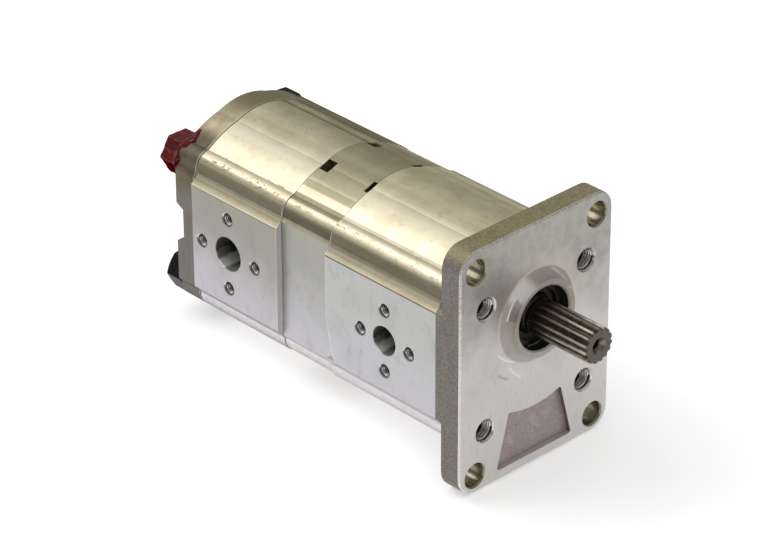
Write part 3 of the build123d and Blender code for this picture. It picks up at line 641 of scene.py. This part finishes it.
def pocket_skin(s, grit, patch):
    """The pocket's rough casting skin, with a lit foot and shaded walls."""
    mauve = s.mix(s.step(grit, 0.3, 0.7), rgb(196, 182, 182), rgb(160, 147, 147))
    mauve = s.mix(s.both(s.step(patch, 0.5, 0.7), 0.4), mauve, rgb(206, 196, 192))
    wall = s.step(s.nx, 0.8, 0.4)
    mauve = s.mix(s.both(wall, 0.7), mauve, rgb(104, 92, 88))
    return s.mix(s.both(wall, s.step(s.nz, 0.6, 0.9)), mauve, rgb(224, 214, 210))


def flange_metal():
    """Cast aluminium with a machined face, a boss with a painted highlight, drilled walls and a
    rough pocket.
    """
    s = Shader("flange_aluminium")
    fine = s.noise(1900, 3.0)
    cloud = s.noise(46, 3.0)
    grit = s.noise(1500, 4.0, 0.65)
    patch = s.noise(190, 3.0)
    rings = s.noise(1, 2.0, 0.5, s.scaled(1500, 60, 60))
    from_axis = s.radius(s.y, s.z)
    ahead = s.step(s.x, 0.1 * MM, 0.3 * MM)
    front = s.either(s.step(s.nx, 0.3, 0.75), ahead)
    glow = boss_glow(s, from_axis, grit)

    raised = s.either(arc_ridge(s, *UPPER_ARC), arc_ridge(s, *LOWER_ARC))
    dark_arc = arc_ridge(s, *DARK_ARC)

    face = machined_face(s, fine, cloud, patch, from_axis)
    # painted highlight on the raised arcs, painted shade on the dark one
    face = s.mix(s.both(raised, 0.45), face, rgb(250, 246, 238))
    face = s.mix(s.both(dark_arc, 0.45), face, rgb(132, 126, 116))
    face = s.mix(glow, face, WARM_GLINT)
    face = boss_notch(s, face, from_axis)
    colour = s.mix(front, cast_edges(s, grit, patch), face)
    # the chamfer round the plate's edge, bright with wear and with a painted highlight
    wear_and_sheen = s.both(s.band(s.nx, 0.45, 0.86, 0.1), s.step(from_axis, *WEAR_AND_SHEEN_FADE))
    wear_and_sheen = s.both(wear_and_sheen, s.step(grit, 0.4, 0.6))
    colour = s.mix(s.both(wear_and_sheen, 0.6), colour, rgb(250, 246, 236))
    pocket = s.both(s.step(s.across, *POCKET_SIDE_FADE), s.step(s.z, *POCKET_TOP_FADE))
    sunk = s.both(pocket, s.step(s.x, *POCKET_DEPTH_FADE))
    colour = s.mix(sunk, colour, pocket_skin(s, grit, patch))

    # drilled walls are bright; the seal's bore is painted dark as shade
    mounts = hole_walls(s, four_corners(MOUNT_Y, MOUNT_Z), MOUNT_REACH)
    screws = hole_walls(s, four_corners(SCREW_Y, SCREW_Y), SCREW_REACH)
    bored = s.without(s.either(mounts, screws), s.step(s.nx, 0.9, 0.97))
    bright = s.mix(s.step(rings, 0.4, 0.65), rgb(150, 145, 125), rgb(134, 129, 109))
    neutral = s.mix(s.step(rings, 0.4, 0.65), rgb(214, 210, 206), rgb(176, 172, 167))
    colour = s.mix(bored, colour, s.mix(screws, bright, neutral))
    seal_bore_shade = s.both(s.step(from_axis, SEAL_REACH + WALL_FADE, SEAL_REACH), s.step(s.nx, 0.6, 0.3))
    colour = s.mix(seal_bore_shade, colour, s.mix(fine, rgb(58, 56, 52), rgb(26, 25, 23)))

    raw = s.without(s.either(s.without(1.0, front), sunk), bored)
    boss = s.both(ahead, s.step(from_axis, *BOSS_FADE))
    rough = s.blend(raw, s.blend(cloud, 0.4, 0.5), 0.6)
    rough = s.blend(bored, rough, 0.2)
    rough = s.blend(boss, rough, 0.7)
    normal = s.bump(s.without(fine, bored), 0.03 * MM, 0.5, s.rounded(0.5 * MM))
    normal = s.bump(s.both(grit, raw), 0.16 * MM, 0.7, normal)
    normal = s.bump(s.both(raised, s.step(s.nx, 0.8, 0.95)), 0.25 * MM, 0.6, normal)
    normal = s.bump(s.both(rings, bored), 0.03 * MM, 0.3, normal)
    metallic = s.blend(boss, s.blend(raw, 0.88, 0.65), s.blend(glow, 0.4, 0.0))
    return s.paint(colour, metallic, rough, normal)


def cover_metal():
    """The rear cover's cast skin, olive above and grey below, with a dark joint and a painted
    highlight beside it.
    """
    s = Shader("cover_aluminium")
    grit = s.noise(600, 4.0, 0.65)
    cloud = s.noise(80, 3.0)
    streak = s.noise(1, 3.0, 0.6, s.scaled(900, 900, 60))
    olive = s.mix(s.step(cloud, 0.35, 0.65), rgb(212, 200, 170), rgb(182, 170, 142))
    grey = s.mix(s.step(streak, 0.35, 0.7), rgb(132, 129, 126), rgb(123, 120, 117))
    dark = s.mix(s.step(cloud, 0.35, 0.65), rgb(122, 113, 93), rgb(102, 94, 76))
    olive = s.mix(s.step(s.y, -16 * MM, -2 * MM), olive, rgb(150, 139, 113))
    olive = s.mix(s.step(s.across, 21 * MM, 29 * MM), olive, dark)
    high = s.step(s.math("ADD", s.z, s.both(cloud, 6 * MM)), -2 * MM, 15 * MM)
    colour = s.mix(high, grey, olive)
    colour = s.mix(s.both(s.step(grit, 0.6, 0.75), 0.35), colour, rgb(92, 84, 66))
    gap = s.math("SUBTRACT", REAR_BACK, s.x)
    # a painted highlight along the cover's edge by the joint, then the dark seam
    lip = s.band(gap, 0.6 * MM, 0.9 * MM, 0.25 * MM)
    colour = s.mix(s.both(lip, 0.4), colour, rgb(232, 226, 206))
    seam = s.step(gap, 0.4 * MM, 0.2 * MM)
    colour = s.mix(s.both(seam, 0.6), colour, rgb(70, 62, 46))
    s.surface.inputs["Specular Tint"].default_value = SATIN_TINT
    normal = s.bump(grit, 0.2 * MM, 0.5, s.rounded(0.35 * MM))
    return s.paint(colour, 0.75, s.blend(cloud, 0.42, 0.58), normal)


# fasteners, shafts, seals and the rest
def black_steel():
    """Blackened steel with a few bare grains."""
    s = Shader("black_steel")
    grit = s.noise(900, 3.0)
    cloud = s.noise(160, 3.0)
    colour = s.mix(s.step(cloud, 0.35, 0.7), rgb(17, 17, 18), rgb(33, 32, 30))
    colour = s.mix(s.both(s.step(grit, 0.62, 0.75), 0.5), colour, rgb(96, 92, 86))
    normal = s.bump(grit, 0.06 * MM, 0.5, s.rounded(0.4 * MM))
    return s.paint(colour, 0.75, s.blend(cloud, 0.34, 0.5), normal)


def shaft_metal():
    """Hardened steel: brown grease in the spline's grooves, tooth tips bright with wear and a
    painted highlight, painted shade further in, a turned end.
    """
    s = Shader("shaft_steel")
    from_axis = s.radius(s.y, s.z)
    lines = s.noise(1, 2.0, 0.6, s.scaled(60, 1800, 1800))
    cloud = s.noise(220, 3.0)
    steel = s.mix(s.step(cloud, 0.35, 0.7), rgb(166, 158, 144), rgb(126, 117, 103))
    grease = s.mix(s.step(cloud, 0.4, 0.65), rgb(70, 56, 34), rgb(38, 30, 18))
    groove = s.step(from_axis, *GROOVE_FADE)
    sides = s.both(groove, s.step(s.size(s.nx), 0.6, 0.3))
    colour = s.mix(sides, steel, grease)
    # the tooth tips, bright with wear and with a painted highlight
    wear_and_sheen = s.both(s.step(from_axis, *TOOTH_TIP_FADE), s.step(lines, 0.4, 0.6))
    colour = s.mix(s.both(wear_and_sheen, 0.75), colour, rgb(206, 199, 186))
    # painted shade where the shaft goes into the bore
    further_in = s.step(s.x, 22 * MM, 4 * MM)
    colour = s.mix(s.both(further_in, 0.65), colour, rgb(44, 43, 37))
    end = s.step(s.nx, 0.6, 0.9)
    turned = s.noise(1, 2.0, 0.5, s.scaled(900, 900, 900))
    colour = s.mix(end, colour, s.mix(turned, rgb(108, 102, 91), rgb(76, 70, 61)))
    rough = s.blend(sides, s.blend(cloud, 0.28, 0.42), 0.3)
    normal = s.bump(lines, 0.05 * MM, 0.6, s.rounded(0.12 * MM))
    return s.paint(colour, s.blend(sides, 0.95, 0.35), rough, normal)


def inner_metal(name, light, dark, metallic, rough, grain):
    """A turned or sintered inner part, with fine marks around its axis."""
    s = Shader(name)
    marks = s.noise(1, 2.0, 0.55, s.scaled(grain, 160, 160))
    cloud = s.noise(180, 3.0)
    colour = s.mix(s.step(cloud, 0.3, 0.7), light, dark)
    colour = s.mix(s.both(s.step(marks, 0.55, 0.7), 0.3), colour, dark)
    normal = s.bump(marks, 0.03 * MM, 0.6, s.rounded(0.15 * MM))
    return s.paint(colour, metallic, s.blend(marks, rough, rough + 0.12), normal)


def rubber():
    """Matt black rubber with an oily cloud."""
    s = Shader("seal_rubber")
    grit = s.noise(1500, 3.0)
    cloud = s.noise(150, 2.0)
    colour = s.mix(cloud, rgb(14, 12, 10), rgb(30, 26, 21))
    normal = s.bump(grit, 0.05 * MM, 0.5, s.rounded(0.1 * MM))
    s.surface.inputs["Specular IOR Level"].default_value = 0.3
    return s.paint(colour, 0.0, s.blend(cloud, 0.45, 0.65), normal)


def lacquer():
    """Brushed-on red sealing lacquer, dark, and glossy only where it faces up."""
    s = Shader("red_lacquer")
    cloud = s.noise(420, 3.0)
    runs = s.noise(170, 2.0)
    colour = s.mix(s.step(cloud, 0.35, 0.7), rgb(106, 10, 8), rgb(66, 7, 6))
    s.surface.inputs["Specular IOR Level"].default_value = 0.0
    s.feed(s.surface.inputs["Coat Weight"], s.both(s.step(s.nz, -0.3, 0.25), 0.6))
    s.surface.inputs["Coat Roughness"].default_value = 0.22
    normal = s.bump(runs, 0.3 * MM, 0.3)
    return s.paint(colour, 0.0, s.blend(cloud, 0.4, 0.55), normal)


def thread_metal(name, axis, pitch, mouth, sunk, depth):
    """Bright cut threads, with painted shade in their grooves, on their sheltered side, and where
    they lie further in than the hole's mouth.
    """
    s = Shader(name)
    fine = s.noise(1400, 2.0)
    along = s.x if axis == "x" else s.across
    own_across = s.own_y if axis == "x" else s.own_x
    lean = -0.5 if axis == "x" else 0.5
    shade_from = 0.2 if axis == "x" else 0.3
    colour = s.mix(s.step(fine, 0.35, 0.7), rgb(244, 242, 236), rgb(206, 203, 196))
    # painted shade in the grooves between the ridges
    ridge = s.size(s.math("SUBTRACT", s.math("PINGPONG", along, pitch / 2), pitch / 4))
    groove = s.step(ridge, 0.17 * pitch, 0.08 * pitch)
    colour = s.mix(s.both(groove, 0.75), colour, rgb(58, 55, 50))
    # painted shade on the side of each thread that the mouth shelters from the light
    shelter = s.math("ADD", s.own_z, s.both(own_across, lean))
    shelter = s.step(shelter, shade_from, shade_from + 0.4)
    colour = s.mix(s.both(shelter, 0.92), colour, rgb(44, 42, 38))
    # painted shade further in than the mouth
    colour = s.mix(s.both(s.step(along, mouth, sunk), depth), colour, rgb(40, 38, 34))
    return s.paint(colour, 0.75, s.blend(fine, 0.24, 0.4), s.bump(fine, 0.04 * MM, 0.5))


def dress_housings():
    """The three extruded sections, each with the widths of its joint lines."""
    rear_joints = ((MIDDLE_BACK, 0.2 * MM), (REAR_BACK, 0.5 * MM))
    middle_joints = ((FRONT_BACK, 0.2 * MM), (MIDDLE_BACK, 0.2 * MM))
    front_joints = ((NECK_BACK, 0.5 * MM), (FRONT_BACK, 0.2 * MM))
    no_port = (0.0, 0.0)
    rear = extrusion("rear_extrusion", PAD_Y, rear_joints, REAR_PORT, REAR_TONES)
    middle = extrusion("middle_extrusion", MIDDLE_Y, middle_joints, no_port, MIDDLE_TONES)
    front = extrusion("front_extrusion", PAD_Y, front_joints, FRONT_PORT, FRONT_TONES)
    dress("rear_housing", rear)
    dress("middle_section", middle)
    dress("front_housing", front)


def dress_everything():
    """Every CAD node gets its material; several nodes share one."""
    dress_housings()
    dress("flange_cover", flange_metal())
    dress("rear_cover", cover_metal())
    dress("drive_shaft", shaft_metal())
    black = black_steel()
    soft = rubber()
    gear = inner_metal("gear_steel", rgb(168, 164, 158), rgb(122, 118, 112), 0.95, 0.26, 1400)
    block = inner_metal("block_aluminium", rgb(206, 204, 198), rgb(170, 167, 160), 0.9, 0.36, 1100)
    bronze = inner_metal("bush_bronze", rgb(196, 150, 96), rgb(142, 104, 62), 0.9, 0.32, 1300)
    spring = inner_metal("spring_steel", rgb(64, 59, 52), rgb(34, 31, 27), 0.85, 0.42, 900)
    for name in nodes:
        if name.startswith("long_screw"):
            dress(name, black)
        elif name.endswith("_block"):
            dress(name, block)
        elif name.endswith("_bush"):
            dress(name, bronze)
        elif name.endswith(("_idler_gear", "_drive_gear")) or name == "coupling_sleeve":
            dress(name, gear)
        elif name.endswith("_dowel") or name in ("seal_spring", "snap_ring"):
            dress(name, spring)
        elif name.endswith("_seal"):
            dress(name, soft)


# pieces that the solids leave out
def mesh_from(bm, name):
    """A mesh of the built faces, all turned outwards."""
    bmesh.ops.recalc_face_normals(bm, faces=bm.faces)
    mesh = bpy.data.meshes.new(name)
    bm.to_mesh(mesh)
    bm.free()
    return mesh


def add_piece(name, mesh, material):
    mesh.materials.append(material)
    piece = bpy.data.objects.new(name, mesh)
    bpy.context.scene.collection.objects.link(piece)
    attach(piece, "housing")
    return piece


def thread_mesh(name, put, wall, crest, pitch, length):
    """A screw thread's ridge inside a hole; put places (along, across, up) in the row."""
    turns = int(length / pitch)
    grid = []
    bm = bmesh.new()
    for i in range(turns * THREAD_STEPS + 1):
        angle = 2 * math.pi * i / THREAD_STEPS
        along = pitch * i / THREAD_STEPS
        ring = []
        for radius, shift in ((wall, 0.0), (crest, 0.5 * pitch), (wall, pitch)):
            across = radius * math.cos(angle)
            up = radius * math.sin(angle)
            ring.append(bm.verts.new(put(along + shift, across, up)))
        grid.append(ring)
    for a, b in zip(grid, grid[1:]):
        bm.faces.new((a[0], a[1], b[1], b[0]))
        bm.faces.new((a[1], a[2], b[2], b[1]))
    return mesh_from(bm, name)


def make_flange_threads():
    """Threads in the flange's four screw holes."""
    pitch = FLANGE_THREAD["pitch"]
    metal = thread_metal("flange_threads", "x", pitch, -DEPTH_SHADE_START, -DEPTH_SHADE_FULL, 0.45)
    for number, (y, z) in enumerate(four_corners(SCREW_Y, SCREW_Y), start=1):

        def in_flange(along, across, up, y=y, z=z):
            return (-FLANGE_THREAD_START - along, y + across, z + up)

        title = f"flange_thread_{number}"
        mesh = thread_mesh(title, in_flange, **FLANGE_THREAD)
        add_piece(title, mesh, metal)


def make_port_threads():
    """Threads in the four holes around every port."""
    pitch = PORT_THREAD["pitch"]
    metal = thread_metal("port_threads", "y", pitch, PAD_Y - DEPTH_SHADE_START, PAD_Y - DEPTH_SHADE_FULL, 0.9)
    for name, side, (port_x, port_z), reach in PORTS:
        for number, (dx, dz) in enumerate(((1, 0), (-1, 0), (0, 1), (0, -1)), start=1):
            x = port_x + dx * reach
            z = port_z + dz * reach

            def in_pad(along, across, up, x=x, z=z, side=side):
                return (x + across, side * (PAD_Y - PORT_THREAD_START - along), z + up)

            title = f"{name}_thread_{number}"
            mesh = thread_mesh(title, in_pad, **PORT_THREAD)
            add_piece(title, mesh, metal)


def lacquer_cap(bm):
    """A closed six-sided cap over the screw head, wider where it meets the cover."""
    middle_y = -SCREW_Y
    middle_z = BODY_Z + SCREW_Y - LACQUER_DROP
    corner_r = LACQUER_FLATS / math.sqrt(3)
    levels = [
        (HEAD_BACK - 1.6 * MM, 0.0),
        (HEAD_BACK - 1.6 * MM, 0.72),
        (HEAD_BACK - 0.3 * MM, 0.98),
        (COVER_BACK - 1.2 * MM, 1.01),
        (COVER_BACK + 0.05 * MM, 1.12),
        (COVER_BACK + 0.05 * MM, 0.0),
    ]
    loops = []
    for x, share in levels:
        ring = []
        for i in range(HEXAGON if share else 1):
            angle = 2 * math.pi * i / HEXAGON
            y = middle_y + share * corner_r * math.cos(angle)
            z = middle_z + share * corner_r * math.sin(angle)
            ring.append(bm.verts.new((x, y, z)))
        loops.append(ring)
    for a, b in zip(loops, loops[1:]):
        for i in range(HEXAGON):
            j = (i + 1) % HEXAGON
            if len(a) == 1:
                bm.faces.new((a[0], b[i], b[j]))
            elif len(b) == 1:
                bm.faces.new((a[i], a[j], b[0]))
            else:
                bm.faces.new((a[i], a[j], b[j], b[i]))


def lacquer_drops(bm):
    """Drops that ran from the head onto the cover's shoulder: place and radius."""
    drops = [
        (COVER_BACK + 0.6 * MM, -33.5 * MM, 21.5 * MM, 3.2 * MM),
        (COVER_BACK + 2.6 * MM, -31.0 * MM, 24.0 * MM, 2.0 * MM),
        (COVER_BACK + 1.2 * MM, -28.6 * MM, 24.8 * MM, 2.3 * MM),
        (COVER_BACK + 1.3 * MM, -26.4 * MM, 25.8 * MM, 1.9 * MM),
        (COVER_BACK + 1.4 * MM, -24.6 * MM, 26.6 * MM, 1.3 * MM),
        (COVER_BACK + 0.4 * MM, -37.0 * MM, 17.0 * MM, 2.6 * MM),
        (COVER_BACK + 0.2 * MM, -38.4 * MM, 11.5 * MM, 1.8 * MM),
    ]
    for *place, radius in drops:
        matrix = Matrix.Translation(place)
        bmesh.ops.create_icosphere(bm, subdivisions=3, radius=radius, matrix=matrix)


def one_skin(mesh):
    """The mesh's overlapping bodies grown into one smooth skin."""
    base = bpy.data.objects.new("lacquer_base", mesh)
    bpy.context.scene.collection.objects.link(base)
    remesh = base.modifiers.new("skin", "REMESH")
    remesh.mode = "VOXEL"
    remesh.voxel_size = LACQUER_GRID
    smooth = base.modifiers.new("soften", "SMOOTH")
    smooth.factor, smooth.iterations = LACQUER_SOFTENING
    graph = bpy.context.evaluated_depsgraph_get()
    skin = bpy.data.meshes.new_from_object(base.evaluated_get(graph))
    bpy.data.objects.remove(base)
    return skin


def make_lacquer():
    """Lacquer brushed over one screw head, thick and uneven, with a run on the cover."""
    bm = bmesh.new()
    lacquer_cap(bm)
    lacquer_drops(bm)
    skin = one_skin(mesh_from(bm, "lacquer_base"))
    skin.name = "lacquer_coat"
    for vertex in skin.vertices:
        swell = sum(relief.noise(vertex.co * scale) * depth for scale, depth in LACQUER_SWELLS)
        vertex.co += vertex.normal * swell
        vertex.co.x = max(vertex.co.x, LACQUER_BACK)
    for polygon in skin.polygons:
        polygon.use_smooth = True
    piece = add_piece("lacquer_coat", skin, lacquer())
    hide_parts("seal_lacquer")


# floor, world and lamps
def make_floor():
    """A pale floor, tilted under the pump to touch its plate and rear, level further out."""
    slope = (BODY_BOTTOM - PLATE_BOTTOM) / (COVER_BACK - PLATE_BACK)
    corners = []
    for x in (-FLOOR_HALF, FLOOR_REAR, FLOOR_FRONT, FLOOR_HALF):
        under = min(max(x, FLOOR_REAR), FLOOR_FRONT)
        z = PLATE_BOTTOM + slope * (under - PLATE_BACK) - FLOOR_GAP
        corners.append((x, -FLOOR_HALF, z))
        corners.append((x, FLOOR_HALF, z))
    mesh = bpy.data.meshes.new("floor")
    mesh.from_pydata(corners, [], [(0, 2, 3, 1), (2, 4, 5, 3), (4, 6, 7, 5)])
    floor = bpy.data.objects.new("floor", mesh)
    bpy.context.scene.collection.objects.link(floor)
    s = Shader("floor_white")
    s.paint((FLOOR_GREY, FLOOR_GREY, FLOOR_GREY, 1), 0.0, 0.9)
    path = s.add("ShaderNodeLightPath")
    mirrored = s.either(path.outputs["Is Glossy Ray"], path.outputs["Is Transmission Ray"])
    seen = s.either(path.outputs["Is Camera Ray"], mirrored)
    s.feed(s.surface.inputs["Emission Color"], WHITE)
    s.feed(s.surface.inputs["Emission Strength"], s.both(seen, FLOOR_LIFT))
    mesh.materials.append(s.material)


def make_world():
    """Dim at the horizon and bright overhead, and white where the camera sees it."""
    world = bpy.data.worlds.new("studio")
    world.use_nodes = True
    bpy.context.scene.world = world
    tree = world.node_tree
    background = tree.nodes["Background"]
    coords = tree.nodes.new("ShaderNodeTexCoord")
    split = tree.nodes.new("ShaderNodeSeparateXYZ")
    tree.links.new(coords.outputs["Generated"], split.inputs[0])
    path = tree.nodes.new("ShaderNodeLightPath").outputs

    def climb(heights, start, end):
        """Runs smoothly from start to end as the direction rises between two heights."""
        node = tree.nodes.new("ShaderNodeMapRange")
        node.interpolation_type = "SMOOTHSTEP"
        tree.links.new(split.outputs["Z"], node.inputs["Value"])
        node.inputs["From Min"].default_value = heights[0]
        node.inputs["From Max"].default_value = heights[1]
        node.inputs["To Min"].default_value = start
        node.inputs["To Max"].default_value = end
        return node.outputs["Result"]

    def combine(operation, a, b):
        node = tree.nodes.new("ShaderNodeMath")
        node.operation = operation
        tree.links.new(a, node.inputs[0])
        tree.links.new(b, node.inputs[1])
        return node.outputs[0]

    mirrored = combine("MAXIMUM", path["Is Glossy Ray"], path["Is Transmission Ray"])
    backdrop = combine("MULTIPLY", mirrored, climb(SKY_EDGE, 1.0, 0.0))
    seen = combine("MAXIMUM", path["Is Camera Ray"], backdrop)
    strength = combine("MAXIMUM", seen, climb(SKY_RISE, SKY_LOW, SKY_HIGH))
    background.inputs["Color"].default_value = WHITE
    tree.links.new(strength, background.inputs["Strength"])


def make_lamp(name, place, width, power):
    """A square lamp that shines at the pump's middle."""
    data = bpy.data.lights.new(name, "AREA")
    data.shape = "SQUARE"
    data.size = width
    data.energy = power
    lamp = bpy.data.objects.new(name, data)
    lamp.location = place
    lamp.rotation_euler = (LAMP_AIM - Vector(place)).to_track_quat("-Z", "Y").to_euler()
    bpy.context.scene.collection.objects.link(lamp)


make_camera()
dress_everything()
make_flange_threads()
make_port_threads()
make_lacquer()
make_floor()
make_world()
for name, (place, width, power) in LAMPS.items():
    make_lamp(name, place, width, power)

bpy.context.scene.view_settings.view_transform = "Standard"
